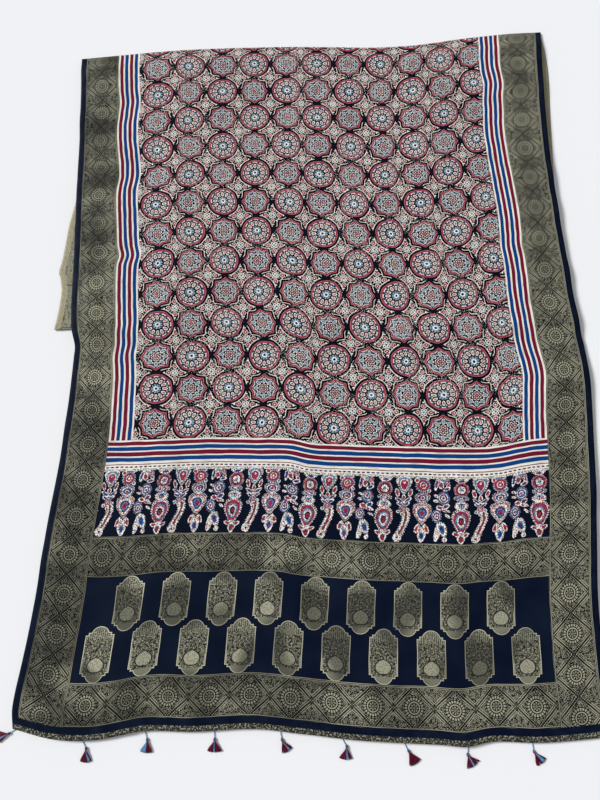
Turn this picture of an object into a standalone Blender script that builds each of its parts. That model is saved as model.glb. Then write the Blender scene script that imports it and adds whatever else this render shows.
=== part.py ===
"""Ajrakh shawl with woven gold borders, laid out face up on a flat surface.

The cloth is one sheet of silk. Its shown half lies on top, turns under at the
far end, runs back beneath to a second fold and turns up again to its hidden
end. Ten tassels hang on the near hem. Metres, +Z up, near hem towards -Y.
"""
from collections import namedtuple
from math import cos, pi, radians, sin

import bmesh
import bpy
from mathutils import Vector

# The sheet
THICKNESS = 0.0010        # silk with its woven borders
HALF = THICKNESS / 2
PITCH = 0.0022            # from one layer's middle up to the next one's
FOLD_RADIUS = 0.0020      # of the sheet's middle round each fold
FOLD_STEPS = 4            # facets round a fold
COLUMNS = 32              # cells from selvedge to selvedge
TOP_ROWS = 28             # cells up the shown layer

# Places up the shown layer, as shares of the way from the hem to the far fold
LOWER_FOLD = 0.535        # the second fold, hidden beneath
HIDDEN_END = 0.75         # where the cloth's other end lies
STEP_SHARE = 0.030        # a layer comes down one step over this share
CLEAR_SHARE = 0.004       # it starts this far past what lies beneath

# Selvedges of the shown layer: share of the way up, left and right edges
Side = namedtuple("Side", "share left right")
SHOWN_SIDES = (
    Side(0.000, -0.5375, 0.5860),
    Side(0.025, -0.5415, 0.5850),
    Side(0.080, -0.5310, 0.5810),
    Side(0.160, -0.5160, 0.5810),
    Side(0.250, -0.5060, 0.5930),
    Side(0.340, -0.4910, 0.6030),
    Side(0.430, -0.4820, 0.6090),
    Side(0.490, -0.4785, 0.6050),
    Side(0.507, -0.4775, 0.6010),
    Side(0.532, -0.4855, 0.5960),
    Side(0.560, -0.4905, 0.5915),
    Side(0.610, -0.4935, 0.5865),
    Side(0.672, -0.4955, 0.5785),
    Side(0.726, -0.4995, 0.5735),
    Side(0.780, -0.5030, 0.5700),
    Side(0.860, -0.5070, 0.5695),
    Side(0.950, -0.5130, 0.5725),
    Side(1.000, -0.5190, 0.5790),
)

# Selvedges of the two hidden layers, which show a little at either side
HIDDEN_SIDES = (
    Side(0.535, -0.5270, 0.5660),
    Side(0.560, -0.5225, 0.5670),
    Side(0.585, -0.5195, 0.5690),
    Side(0.608, -0.5205, 0.5700),
    Side(0.622, -0.5290, 0.5710),
    Side(0.645, -0.5235, 0.5720),
    Side(0.672, -0.5195, 0.5730),
    Side(0.705, -0.5150, 0.5750),
    Side(0.740, -0.5060, 0.5770),
    Side(0.780, -0.5010, 0.5800),
    Side(0.860, -0.5040, 0.5845),
    Side(0.920, -0.5090, 0.5890),
    Side(0.960, -0.5140, 0.5875),
    Side(1.000, -0.5190, 0.5790),
)

# The wavy near hem and the far fold: share across, and their places along Y
End = namedtuple("End", "share hem fold")
ENDS = (
    End(0.000, -0.630, 0.827),
    End(0.070, -0.648, 0.8355),
    End(0.140, -0.649, 0.844),
    End(0.220, -0.634, 0.852),
    End(0.300, -0.635, 0.8565),
    End(0.400, -0.630, 0.860),
    End(0.480, -0.638, 0.861),
    End(0.560, -0.648, 0.860),
    End(0.630, -0.653, 0.859),
    End(0.710, -0.657, 0.864),
    End(0.755, -0.660, 0.8705),
    End(0.800, -0.652, 0.879),
    End(0.870, -0.654, 0.890),
    End(0.935, -0.650, 0.898),
    End(1.000, -0.643, 0.902),
)

# How the printed cross stripes sag between hem and fold: share across, and Y
STRIPE_SHARE = 0.367      # share of the way up to the stripes
Sag = namedtuple("Sag", "share up")
STRIPES = (
    Sag(0.000, -0.0880),
    Sag(0.105, -0.0868),
    Sag(0.200, -0.0840),
    Sag(0.286, -0.0805),
    Sag(0.360, -0.0815),
    Sag(0.430, -0.0830),
    Sag(0.468, -0.0920),
    Sag(0.540, -0.0955),
    Sag(0.650, -0.0993),
    Sag(0.771, -0.1013),
    Sag(0.820, -0.0980),
    Sag(0.862, -0.0889),
    Sag(0.893, -0.0836),
    Sag(1.000, -0.0750),
)

# Height of each layer's middle over a sheet that lies on the surface
Level = namedtuple("Level", "share height")
SHOWN_LEVELS = (
    Level(0.0, 0.0),
    Level(LOWER_FOLD - STEP_SHARE - CLEAR_SHARE, 0.0),
    Level(LOWER_FOLD - CLEAR_SHARE, 2 * FOLD_RADIUS + PITCH),
    Level(LOWER_FOLD + STEP_SHARE, 2 * PITCH),
    Level(HIDDEN_END + CLEAR_SHARE, 2 * PITCH),
    Level(HIDDEN_END + STEP_SHARE, PITCH),
    Level(1 - STEP_SHARE, PITCH),
    Level(1.0, 2 * FOLD_RADIUS),
)
MIDDLE_LEVELS = (
    Level(LOWER_FOLD, 2 * FOLD_RADIUS),
    Level(LOWER_FOLD + STEP_SHARE, PITCH),
    Level(HIDDEN_END + CLEAR_SHARE, PITCH),
    Level(HIDDEN_END + STEP_SHARE, 0.0),
    Level(1.0, 0.0),
)
LOWEST_LEVELS = (
    Level(LOWER_FOLD, 0.0),
    Level(HIDDEN_END, 0.0),
)

# Pressed creases that run the length of the shown layer, as soft ridges
Crease = namedtuple("Crease", "across height")
LONG_CREASES = (
    Crease(0.220, 0.0054),
    Crease(0.468, 0.0052),
    Crease(0.745, 0.0056),
)
CREASE_REACH = 0.034      # share across from a ridge's crest to its foot
CREASE_FADE = 0.10        # share up from the hem where it reaches full height
CREASE_FAR = 0.45         # height left in the printed field

# Short ripples that come in from one selvedge: side, share up, reach, height
Ripple = namedtuple("Ripple", "side share reach height")
RIPPLES = (
    Ripple(0, 0.205, 0.20, 0.0044),
    Ripple(0, 0.385, 0.16, 0.0040),
    Ripple(0, 0.680, 0.14, 0.0054),
    Ripple(0, 0.880, 0.10, 0.0036),
    Ripple(1, 0.290, 0.20, 0.0044),
    Ripple(1, 0.450, 0.16, 0.0046),
    Ripple(1, 0.700, 0.14, 0.0042),
    Ripple(1, 0.905, 0.12, 0.0036),
)
RIPPLE_WIDTH = 0.040      # share up from a ripple's crest to its foot

# Tassels: share across the hem, degrees that thread and skirt turn to the
# right of straight down the cloth, skirt length and width
Tassel = namedtuple("Tassel", "share thread skirt length width")
TASSELS = (
    Tassel(0.006, -62, -72, 0.024, 0.021),
    Tassel(0.116, 27, 2, 0.024, 0.021),
    Tassel(0.220, 14, -2, 0.023, 0.022),
    Tassel(0.336, 0, 0, 0.022, 0.028),
    Tassel(0.446, 9, 27, 0.023, 0.021),
    Tassel(0.549, 27, -5, 0.023, 0.024),
    Tassel(0.652, 25, 30, 0.026, 0.023),
    Tassel(0.760, -14, 30, 0.022, 0.028),
    Tassel(0.866, 3, 35, 0.024, 0.022),
    Tassel(0.994, 38, 22, 0.024, 0.022),
)
THREAD_LENGTH = 0.017     # from the hem to the knot
GAP = 0.0003              # between a thread and the hem
TASSEL_SIDES = 8          # facets round a tassel

# Sections down a tassel: share of the thread or of the skirt, half width as
# a share of the skirt's half width past the knot, and plain half sizes
ThreadSection = namedtuple("ThreadSection", "share half_width half_height")
THREAD_SECTIONS = (
    ThreadSection(0.00, 0.0009, 0.0009),
    ThreadSection(0.82, 0.0009, 0.0009),
    ThreadSection(0.90, 0.0020, 0.0018),
    ThreadSection(1.00, 0.0022, 0.0020),
)
SkirtSection = namedtuple("SkirtSection", "share width_share half_height")
SKIRT_SECTIONS = (
    SkirtSection(0.14, 0.17, 0.0017),
    SkirtSection(0.34, 0.42, 0.0026),
    SkirtSection(0.66, 0.78, 0.0026),
    SkirtSection(0.94, 1.00, 0.0021),
    SkirtSection(1.00, 0.94, 0.0012),
)

CLOTH_COLOUR = (0.055, 0.030, 0.060)
TASSEL_COLOUR = (0.085, 0.004, 0.020)


def linear(rows, share, key, value):
    """Read a column of a table at a share, straight between its rows."""
    for low, high in zip(rows, rows[1:]):
        if share <= getattr(high, key):
            break
    span = getattr(high, key) - getattr(low, key)
    part = max(0.0, (share - getattr(low, key)) / span)
    return getattr(low, value) + part * (getattr(high, value) - getattr(low, value))


def smooth(rows, share, key, value):
    """Read a column as one smooth curve through all its rows."""
    index = 0
    while index < len(rows) - 2 and share > getattr(rows[index + 1], key):
        index += 1
    places = [getattr(row, key) for row in rows]
    values = [getattr(row, value) for row in rows]

    def slope(i):
        before = max(i - 1, 0)
        after = min(i + 1, len(rows) - 1)
        return (values[after] - values[before]) / (places[after] - places[before])

    span = places[index + 1] - places[index]
    part = (share - places[index]) / span
    keep = 2 * part ** 3 - 3 * part ** 2 + 1
    leave = part ** 3 - 2 * part ** 2 + part
    arrive = part ** 3 - part ** 2
    start = keep * values[index] + leave * span * slope(index)
    return start + (1 - keep) * values[index + 1] + arrive * span * slope(index + 1)


def along(across, share):
    """Y of the shown layer's cross line at a share of the way up."""
    hem = smooth(ENDS, across, "share", "hem")
    fold = smooth(ENDS, across, "share", "fold")
    sag = smooth(STRIPES, across, "share", "up") - hem - STRIPE_SHARE * (fold - hem)
    nearness = max(0.0, min(share / STRIPE_SHARE, (1 - share) / (1 - STRIPE_SHARE)))
    return hem + share * (fold - hem) + sag * nearness ** 2 * (3 - 2 * nearness)


def sideways(sides, across, share):
    """X at a share across between a layer's two selvedges."""
    left = smooth(sides, share, "share", "left")
    right = smooth(sides, share, "share", "right")
    return left + across * (right - left)


def tent(distance, reach):
    """1 on a ridge's crest, down to 0 at its foot."""
    return max(0.0, 1 - abs(distance) / reach)


def relief(across, share):
    """How far creases and ripples lift the shown layer."""
    fade = min(1.0, share / CREASE_FADE)
    if share > LOWER_FOLD:
        fade = CREASE_FAR
    elif share > LOWER_FOLD / 2:
        part = (share - LOWER_FOLD / 2) / (LOWER_FOLD / 2)
        fade = 1 - part * (1 - CREASE_FAR)
    fade *= min(1.0, (1 - share) / STEP_SHARE)
    lift = 0.0
    for crease in LONG_CREASES:
        lift += crease.height * fade * tent(across - crease.across, CREASE_REACH)
    for ripple in RIPPLES:
        inward = tent(across - ripple.side, ripple.reach)
        lift += ripple.height * inward * tent(share - ripple.share, RIPPLE_WIDTH)
    return lift


def shown_point(across, share):
    """A point of the shown layer's middle."""
    level = linear(SHOWN_LEVELS, share, "share", "height")
    height = HALF + level + relief(across, share)
    return Vector((sideways(SHOWN_SIDES, across, share), along(across, share), height))


def hidden_point(levels, across, share):
    """A point of the middle of one of the two hidden layers."""
    height = HALF + linear(levels, share, "share", "height")
    return Vector((sideways(HIDDEN_SIDES, across, share), along(across, share), height))


def fold_point(across, share, angle, outward):
    """A point round a fold: angle 0 at its top, pi at its bottom."""
    turn = FOLD_RADIUS * Vector((0, outward * sin(angle), cos(angle)))
    centre = Vector((sideways(HIDDEN_SIDES, across, share), along(across, share), HALF + FOLD_RADIUS))
    return centre + turn


def shares_up(levels, rows):
    """Even rows between a layer's ends, and one at each change of level."""
    low = levels[0].share
    high = levels[-1].share
    marks = [low + (high - low) * row / rows for row in range(rows + 1)]
    corners = [level.share for level in levels]
    near = (high - low) / rows / 3
    marks = [mark for mark in marks if all(abs(mark - corner) > near for corner in corners)]
    return sorted(marks + corners)


def sheet_rows():
    """Every cross line of the sheet, from the hem to the hidden end."""
    across = [column / COLUMNS for column in range(COLUMNS + 1)]
    turns = [pi * step / FOLD_STEPS for step in range(1, FOLD_STEPS)]
    middle_rows = round(TOP_ROWS * (1 - LOWER_FOLD) / 2)
    rows = [[shown_point(u, share) for u in across] for share in shares_up(SHOWN_LEVELS, TOP_ROWS)]
    rows += [[fold_point(u, 1.0, turn, 1) for u in across] for turn in turns]
    for share in reversed(shares_up(MIDDLE_LEVELS, middle_rows)):
        rows.append([hidden_point(MIDDLE_LEVELS, u, share) for u in across])
    rows += [[fold_point(u, LOWER_FOLD, turn, -1) for u in across] for turn in turns]
    for share in shares_up(LOWEST_LEVELS, 4):
        rows.append([hidden_point(LOWEST_LEVELS, u, share) for u in across])
    return rows


def material(name, colour, roughness):
    """A plain cloth finish."""
    made = bpy.data.materials.new(name)
    made.use_nodes = True
    shader = made.node_tree.nodes["Principled BSDF"]
    shader.inputs["Base Color"].default_value = (*colour, 1)
    shader.inputs["Roughness"].default_value = roughness
    shader.inputs["Metallic"].default_value = 0.0
    return made


def add_object(name, mesh_data, finish, parent):
    """Wrap a bmesh as an object of the scene."""
    mesh = bpy.data.meshes.new(name)
    mesh_data.to_mesh(mesh)
    mesh_data.free()
    mesh.materials.append(finish)
    made = bpy.data.objects.new(name, mesh)
    bpy.context.collection.objects.link(made)
    made.parent = parent
    return made


def build_cloth(finish, parent):
    """The whole cloth: one folded grid, thickened about its middle."""
    grid = bmesh.new()
    rows = [[grid.verts.new(point) for point in row] for row in sheet_rows()]
    for low, high in zip(rows, rows[1:]):
        for column in range(COLUMNS):
            corners = (low[column], low[column + 1], high[column + 1], high[column])
            grid.faces.new(corners)
    bmesh.ops.triangulate(grid, faces=grid.faces[:])
    cloth = add_object("cloth", grid, finish, parent)
    solidify = cloth.modifiers.new("Thickness", "SOLIDIFY")
    solidify.thickness = THICKNESS
    solidify.offset = 0
    solidify.use_even_offset = True
    cloth.data.shade_smooth()
    cloth.data.set_sharp_from_angle(angle=radians(40))
    return cloth


def section_ring(tube, centre, heading, half_width, half_height):
    """One ring of a tassel, lying flat on the surface on its lowest facet."""
    side = Vector((cos(heading), sin(heading), 0))
    flat = cos(pi / TASSEL_SIDES)
    ring = []
    for index in range(TASSEL_SIDES):
        angle = 2 * pi * (index + 0.5) / TASSEL_SIDES - pi / 2
        rise = half_height * (flat + sin(angle))
        ring.append(tube.verts.new(centre + side * half_width * cos(angle) + Vector((0, 0, rise))))
    return ring


def build_tassel(name, row, finish, parent):
    """Thread, knot and flattened skirt as one closed form from the hem down."""
    tube = bmesh.new()
    thread_turn = radians(row.thread)
    skirt_turn = radians(row.skirt)
    thread_way = Vector((sin(thread_turn), -cos(thread_turn), 0))
    skirt_way = Vector((sin(skirt_turn), -cos(skirt_turn), 0))
    rings = []
    for section in THREAD_SECTIONS:
        centre = thread_way * THREAD_LENGTH * section.share
        heading = thread_turn if section.share < 1 else (thread_turn + skirt_turn) / 2
        rings.append(section_ring(tube, centre, heading, section.half_width, section.half_height))
    knot = thread_way * THREAD_LENGTH
    for section in SKIRT_SECTIONS:
        centre = knot + skirt_way * row.length * section.share
        half_width = section.width_share * row.width / 2
        rings.append(section_ring(tube, centre, skirt_turn, half_width, section.half_height))
    for first, second in zip(rings, rings[1:]):
        bmesh.ops.bridge_loops(tube, edges=ring_edges(tube, first) + ring_edges(tube, second))
    tube.faces.new(rings[0])
    tube.faces.new(rings[-1])
    bmesh.ops.recalc_face_normals(tube, faces=tube.faces[:])
    tassel = add_object(name, tube, finish, parent)
    hem = shown_point(row.share, 0.0)
    reach = GAP + THREAD_SECTIONS[0].half_width * abs(sin(thread_turn))
    tassel.location = (hem.x, hem.y - reach - HALF, 0)
    tassel.data.shade_smooth()
    tassel.data.set_sharp_from_angle(angle=radians(60))
    return tassel


def ring_edges(tube, ring):
    """The closed loop of edges through a ring's corners."""
    edges = []
    for start, end in zip(ring, ring[1:] + ring[:1]):
        edges.append(tube.edges.get((start, end)) or tube.edges.new((start, end)))
    return edges


def centre_on_origin(parent, pieces):
    """Put the middle of the whole plan on the origin."""
    bpy.context.view_layer.update()
    corners = [piece.matrix_world @ vertex.co for piece in pieces for vertex in piece.data.vertices]
    xs = [corner.x for corner in corners]
    ys = [corner.y for corner in corners]
    parent.location = (-(min(xs) + max(xs)) / 2, -(min(ys) + max(ys)) / 2, 0)


def main():
    for item in list(bpy.data.objects):
        bpy.data.objects.remove(item, do_unlink=True)
    holder = bpy.data.objects.new("shawl", None)
    bpy.context.collection.objects.link(holder)
    cloth_finish = material("printed_silk", CLOTH_COLOUR, 0.75)
    tassel_finish = material("tassel_yarn", TASSEL_COLOUR, 0.85)
    pieces = [build_cloth(cloth_finish, holder)]
    for number, row in enumerate(TASSELS, 1):
        pieces.append(build_tassel(f"tassel_{number:02d}", row, tassel_finish, holder))
    centre_on_origin(holder, pieces)


main()
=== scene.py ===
from math import pi, radians

import bpy
import numpy as np
from mathutils import Matrix, Vector


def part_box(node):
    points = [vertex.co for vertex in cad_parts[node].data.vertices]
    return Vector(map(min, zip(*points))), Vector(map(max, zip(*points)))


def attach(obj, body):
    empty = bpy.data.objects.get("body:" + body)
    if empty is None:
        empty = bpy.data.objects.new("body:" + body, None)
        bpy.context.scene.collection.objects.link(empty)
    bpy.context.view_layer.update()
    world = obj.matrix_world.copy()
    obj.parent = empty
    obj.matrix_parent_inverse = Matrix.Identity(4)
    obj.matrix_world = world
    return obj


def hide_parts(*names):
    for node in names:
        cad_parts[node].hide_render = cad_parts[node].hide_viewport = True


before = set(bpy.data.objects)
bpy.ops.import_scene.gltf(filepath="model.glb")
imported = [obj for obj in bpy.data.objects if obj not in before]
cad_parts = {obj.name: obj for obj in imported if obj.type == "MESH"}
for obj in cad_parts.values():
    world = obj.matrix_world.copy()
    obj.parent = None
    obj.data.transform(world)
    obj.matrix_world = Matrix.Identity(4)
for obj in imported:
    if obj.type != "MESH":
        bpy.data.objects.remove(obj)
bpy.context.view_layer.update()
print("frame loaded")

# Plan of the cloth, in metres from the middle of the view
shownSides = dict(   # share up from the hem, and the shown layer's selvedges there
    share=[0, .025, .08, .16, .25, .34, .43, .49, .507, .532, .56, .61, .672, .726, .78, .86, .95, 1],
    left=[-.5375, -.5415, -.531, -.516, -.506, -.491, -.482, -.4785, -.4775, -.4855, -.4905, -.4935,
          -.4955, -.4995, -.503, -.507, -.513, -.519],
    right=[.586, .585, .581, .581, .593, .603, .609, .605, .601, .596, .5915, .5865,
           .5785, .5735, .570, .5695, .5725, .579])
hiddenSides = dict(   # the same for the layers turned under
    share=[.535, .56, .585, .608, .622, .645, .672, .705, .74, .78, .86, .92, .96, 1],
    left=[-.527, -.5225, -.5195, -.5205, -.529, -.5235, -.5195, -.515, -.506, -.501, -.504, -.509, -.514, -.519],
    right=[.566, .567, .569, .570, .571, .572, .573, .575, .577, .580, .5845, .589, .5875, .579])
stripeLine = dict(   # share across, and how far up the printed cross stripes lie
    share=[0, .105, .20, .286, .36, .43, .468, .54, .65, .771, .82, .862, .893, 1],
    up=[-.088, -.0868, -.084, -.0805, -.0815, -.083, -.092, -.0955, -.0993, -.1013, -.098, -.0889, -.0836, -.075])
crossLines = dict(   # share across, and where hem and far fold lie
    share=[0, .07, .14, .22, .30, .40, .48, .56, .63, .71, .755, .80, .87, .935, 1],
    hem=[-.630, -.648, -.649, -.634, -.635, -.630, -.638, -.648, -.653, -.657, -.660, -.652, -.654, -.650, -.643],
    fold=[.827, .8355, .844, .852, .8565, .860, .861, .860, .859, .864, .8705, .879, .890, .898, .902])

cloth = dict(
    width=1.100, shown=1.499, thickness=.0008, stripes=.367,
    pitch=.0022, foldRadius=.0020,          # one layer over the next, and the sheet's bend at a fold
    lowerFold=.535, hiddenEnd=.75,          # shares up where the cloth turns back, and where it ends
    step=.030, clear=.004,                  # how a layer comes down past what lies under it
    foldRows=8, middleRows=30, lowestRows=12, tallest=.0115)

# Bands of the cloth, in metres: from the left selvedge, and up from the hem
bandsAcross = dict(
    edge=[0, .0125, .0955, .1445, .9555, 1.0045, 1.0875, 1.100],
    cells=[3, 13, 8, 112, 8, 13, 3])
bandsUp = dict(
    edge=[0, .010, .023, .099, .286, .360, .491, .550, 1.499],
    cells=[2, 2, 12, 28, 11, 20, 9, 146])

# Pressed packing creases along the cloth: share across at the hem and at the far fold, height, width of the fall
longCreases = dict(
    near=[.195, .466, .754, .66],
    far=[.225, .470, .735, .665],
    nearHeight=[.0066, .0062, .0070, .0],
    farHeight=[.0028, .0034, .0026, .0028],
    fall=[.017, .018, .017, .012])

# Short cross ripples from a selvedge: side, share up, reach inwards, height, half width as a share
ripples = dict(
    side=[0, 0, 0, 0, 0, 1, 1, 1, 1, 1],
    share=[.205, .385, .515, .680, .880, .290, .450, .600, .700, .905],
    reach=[.16, .12, .16, .14, .10, .20, .14, .12, .12, .12],
    height=[.0046, .0042, .0064, .0062, .0040, .0048, .0050, .0040, .0046, .0040],
    width=[.020, .022, .018, .020, .016, .020, .022, .016, .018, .014])

# How far the printed side stripes sway from straight, in metres, at a share up
sway = dict(
    share=[0, .30, .39, .43, .46, .492, .5165, .54, .628, .646, .664, .70, .75, .785, .837, .861, .887, .913, .94, 1],
    left=[0, 0, -.0016, -.005, -.007, -.012, -.007, 0, 0, .0052, 0, -.002, -.004, .0012, -.0060, -.0085, -.0066,
          -.0037, -.0067, -.007],
    right=[0, 0, -.003, 0, .004, -.002, -.0026, -.0015, .0015, 0, .003, .005, .002, -.001, -.005, -.003, -.0026,
           .001, -.0045, -.007])


def smoothRead(table, column, share):
    # one smooth curve through a column's rows, read at many shares
    places = np.array(table["share"], float)
    values = np.array(table[column], float)
    share = np.asarray(share, float)
    row = np.clip(np.searchsorted(places, share, side="right") - 1, 0, len(places) - 2)
    before = np.maximum(np.arange(len(places)) - 1, 0)
    after = np.minimum(np.arange(len(places)) + 1, len(places) - 1)
    slopes = (values[after] - values[before]) / (places[after] - places[before])
    span = places[row + 1] - places[row]
    part = (share - places[row]) / span
    keep = 2 * part ** 3 - 3 * part ** 2 + 1
    leave = (part ** 3 - 2 * part ** 2 + part) * span * slopes[row]
    arrive = (part ** 3 - part ** 2) * span * slopes[row + 1]
    return keep * values[row] + (1 - keep) * values[row + 1] + leave + arrive


def ease(x):
    x = np.clip(x, 0, 1)
    return x * x * (3 - 2 * x)


def alongCloth(across, share):
    # Y of a cross line; the printed stripes keep their own sag
    hem = smoothRead(crossLines, "hem", across)
    fold = smoothRead(crossLines, "fold", across)
    sag = smoothRead(stripeLine, "up", across) - hem - cloth["stripes"] * (fold - hem)
    bend = np.minimum(share / cloth["stripes"], (1 - share) / (1 - cloth["stripes"]))
    return hem + share * (fold - hem) + sag * ease(bend)


def sideways(sides, across, share):
    left = smoothRead(sides, "left", share)
    right = smoothRead(sides, "right", share)
    return left + across * (right - left)


def swayed(across, share):
    # the stripes' sideways sway dies out at the selvedge and in the field
    nearLeft = ease(across / .085) * (1 - ease((across - .13) / .20))
    nearRight = ease((1 - across) / .085) * (1 - ease((.87 - across) / .20))
    return smoothRead(sway, "left", share) * nearLeft + smoothRead(sway, "right", share) * nearRight


def creaseAt(index, share):
    near, far = longCreases["near"][index], longCreases["far"][index]
    return near + (far - near) * share


def relief(across, share):
    # creases, ripples and soft unevenness of the shown layer, never below its bed
    lift = np.zeros(np.broadcast(across, share).shape)
    hemFade = .45 + .55 * ease(share / .05)
    for index, fall in enumerate(longCreases["fall"]):
        tall = longCreases["nearHeight"][index]
        tall = tall + (longCreases["farHeight"][index] - tall) * ease((share - .26) / .14)
        away = (across - creaseAt(index, share)) * cloth["width"]
        reach = fall * np.where(away < 0, 1.7, .75)
        lift = lift + tall * hemFade * np.exp(-np.sqrt(away ** 2 + .0012 ** 2) / reach)
    for side, place, reach, height, width in zip(*(ripples[key] for key in
                                                   ("side", "share", "reach", "height", "width"))):
        inward = 1 - ease(np.abs(across - side) / reach)
        lift = lift + height * inward * np.exp(-((share - place) / width) ** 2)
    draw = np.random.RandomState(11)
    for turn in range(26):   # broad soft unevenness, up to about 3 mm
        way = draw.uniform(0, pi)
        count = draw.uniform(3, 17)
        phase = draw.uniform(0, 2 * pi)
        wave = count * (across * cloth["width"] * np.cos(way) + share * cloth["shown"] * np.sin(way))
        lift = lift + .00055 * (1 + np.sin(2 * pi * wave / 2 + phase)) / (1 + count / 9)
    lift = lift / (1 + (lift / cloth["tallest"]) ** 4) ** .25   # creases that cross don't pile up
    return lift * (1 - ease((share - 1 + cloth["step"]) / cloth["step"]))


def levelled(share, places, heights):
    # eased steps between a layer's levels
    height = np.full(np.shape(share), heights[0], float)
    for low, high, start, end in zip(places, places[1:], heights, heights[1:]):
        height = height + (end - start) * ease((share - low) / max(high - low, 1e-6))
    return height


def shownLevel(share):
    fold, end, step, clear = (cloth[key] for key in ("lowerFold", "hiddenEnd", "step", "clear"))
    loop, pitch = 2 * cloth["foldRadius"], cloth["pitch"]
    places = [fold - step - clear, fold - clear, fold + step, end + clear, end + step, 1 - step, 1]
    return levelled(share, places, [0, loop + pitch, 2 * pitch, 2 * pitch, pitch, pitch, loop])


def middleLevel(share):
    fold, end, step, clear = (cloth[key] for key in ("lowerFold", "hiddenEnd", "step", "clear"))
    places = [fold, fold + step, end + clear, end + step]
    return levelled(share, places, [2 * cloth["foldRadius"], cloth["pitch"], cloth["pitch"], 0])


def spread(edges, cells):
    # cell edges that keep every band's own edges
    runs = [np.linspace(a, b, n, endpoint=False) for a, b, n in zip(edges, edges[1:], cells)]
    return np.append(np.concatenate(runs), edges[-1])


def sheetGrid():
    # the middle surface of the whole sheet, row by row from the hem, with its place on the flat cloth
    across = spread(bandsAcross["edge"], bandsAcross["cells"]) / cloth["width"]
    bed = cloth["thickness"] / 2
    rows, lengths = [], []
    for length in spread(bandsUp["edge"], bandsUp["cells"]):
        share = length / cloth["shown"]
        height = bed + shownLevel(share) + relief(across, share)
        x = sideways(shownSides, across, share) + swayed(across, share)
        rows.append(np.stack([x, alongCloth(across, share), height], 1))
        lengths.append(length)
    radius = cloth["foldRadius"]

    def turnAbout(share, outward, travelled):
        centre = np.stack([sideways(hiddenSides, across, share), alongCloth(across, share),
                           np.full(len(across), bed + radius)], 1)
        for turn in range(1, cloth["foldRows"]):
            angle = pi * turn / cloth["foldRows"]
            rows.append(centre + radius * np.array([0, outward * np.sin(angle), np.cos(angle)]))
            lengths.append(travelled + radius * angle)
        return travelled + radius * pi

    travelled = turnAbout(1.0, 1, cloth["shown"])
    for share in np.linspace(1, cloth["lowerFold"], cloth["middleRows"] + 1):
        height = np.full(len(across), bed + middleLevel(share))
        rows.append(np.stack([sideways(hiddenSides, across, share), alongCloth(across, share), height], 1))
        lengths.append(travelled + (1 - share) * cloth["shown"])
    travelled = turnAbout(cloth["lowerFold"], -1, lengths[-1])
    for share in np.linspace(cloth["lowerFold"], cloth["hiddenEnd"], cloth["lowestRows"] + 1):
        height = np.full(len(across), bed)
        rows.append(np.stack([sideways(hiddenSides, across, share), alongCloth(across, share), height], 1))
        lengths.append(travelled + (share - cloth["lowerFold"]) * cloth["shown"])
    return np.array(rows), across * cloth["width"], np.array(lengths)


def gridNormals(points):
    up = np.gradient(points, axis=0)
    side = np.gradient(points, axis=1)
    normal = np.cross(side, up)
    return normal / np.linalg.norm(normal, axis=2, keepdims=True)


def pressedPlaces(widths, lengths):
    # where each grid corner lies on the flat print; cloth drawn into a crease shows less of itself
    across, along = np.meshgrid(widths, lengths)
    share = np.clip(along / cloth["shown"], 0, 1)
    for index in range(len(longCreases["near"])):
        away = across - creaseAt(index, share) * cloth["width"]
        pinch = .0050 * ease((along - .50) / .12)
        across = across + pinch * (away / .020) * np.exp(-(away / .028) ** 2)
    return np.stack([across, along], 2)


zoneNames = ["endStrip", "navyEdge", "goldSide", "sideStripes", "printedField", "crossStripes", "paisleyRow",
             "goldBand", "navyEnd", "reverseEdge", "reverseGold", "reversePrint"]


def frontZone(bandAcross, bandUp):
    if bandUp == 0:
        return "endStrip"
    if bandUp == 1 or bandAcross in (0, 6):
        return "navyEdge"
    if bandAcross in (1, 5):
        return "goldSide"
    if bandUp < 7:
        return {2: "goldBand", 3: "navyEnd", 4: "goldBand", 5: "paisleyRow", 6: "crossStripes"}[bandUp]
    return "printedField" if bandAcross == 3 else "sideStripes"


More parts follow.
